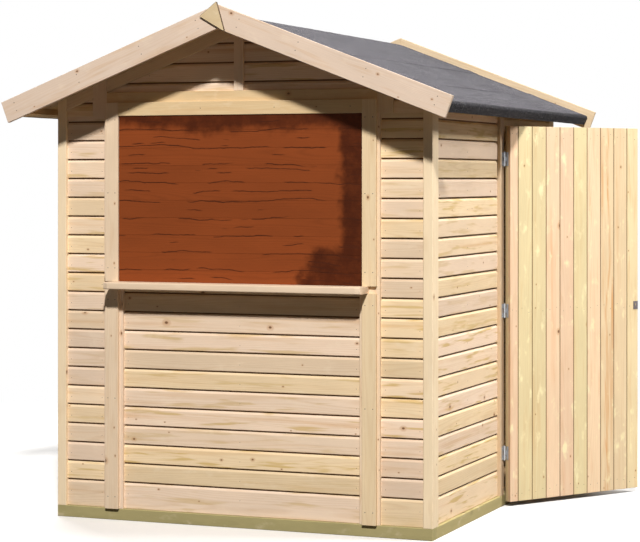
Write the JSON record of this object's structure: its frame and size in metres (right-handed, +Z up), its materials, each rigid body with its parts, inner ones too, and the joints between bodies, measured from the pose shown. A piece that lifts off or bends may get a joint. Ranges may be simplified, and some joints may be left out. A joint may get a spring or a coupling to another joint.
{
  "type": "timber pool house",
  "caption": "Small gable-roofed timber pool house with board-clad walls, a serving window closed by a hatch above a counter, a felt roof and a braced side door.",
  "frame": {"origin": "centre of the house's footprint over the corner posts, at ground level, on the underside of the middle floor joist", "axes": "+X to the right seen from the serving window's side, +Y from front to back, +Z up"},
  "size_m": [2.7618, 2.68, 2.5889],
  "materials": {
    "wall_boards": "raw planed spruce boards",
    "planed_trim": "raw planed spruce",
    "door_spruce": "raw planed spruce, warm",
    "frame_timber": "sawn timber",
    "floor_boards": "raw floor boards",
    "treated_base": "green pressure-treated timber",
    "red_brown_stain": "red-brown stained boards, uneven",
    "plaque_wood": "plain stained wood with a dark edge",
    "roof_felt": "mineral-surfaced bitumen felt",
    "zinc_steel": "zinc-plated steel"
  },
  "bodies": {
    "house": {"apex_plaque": "plaque_wood", "back_wall": "wall_boards", "barge_board_back_left": "planed_trim", "barge_board_back_right": "planed_trim", "barge_board_front_left": "planed_trim", "barge_board_front_right": "planed_trim", "base_back": "treated_base", "base_front": "treated_base", "base_left": "treated_base", "base_right": "treated_base", "corner_post_back_left": "planed_trim", "corner_post_back_right": "planed_trim", "corner_post_front_left": "planed_trim", "corner_post_front_right": "planed_trim", "counter": "planed_trim", "door_head": "planed_trim", "door_post": "planed_trim", "eave_battens": "frame_timber", "floor_deck": "floor_boards", "floor_joists": "floor_boards", "front_gable": "wall_boards", "front_wall_left": "wall_boards", "front_wall_right": "wall_boards", "front_wall_under_counter": "wall_boards", "gable_cover_strips": "planed_trim", "hatch_panel": "red_brown_stain", "hinge_post_halves": "zinc_steel", "left_wall": "wall_boards", "purlins": "frame_timber", "right_wall": "wall_boards", "right_wall_over_door": "wall_boards", "roof_deck_left": "frame_timber", "roof_deck_right": "frame_timber", "roof_felt_left": "roof_felt", "roof_felt_right": "roof_felt", "top_plates": "frame_timber", "wall_studs": "frame_timber", "window_head_trim": "planed_trim", "window_header": "planed_trim", "window_posts": "planed_trim", "window_trim_left": "planed_trim", "window_trim_right": "planed_trim"},
    "door": {"door_leaf": "door_spruce", "door_stiles": "door_spruce", "door_rails": "door_spruce", "door_braces": "door_spruce", "door_lock": "zinc_steel", "hinge_leaf_halves": "zinc_steel"}
  },
  "joints": [
    {"name": "door_hinge", "type": "hinge", "parent": "house", "child": "door", "pos_m": [1.023, 0.079, 0], "axis": [0, 0, -1], "range_deg": [-33, 67]}
  ]
}
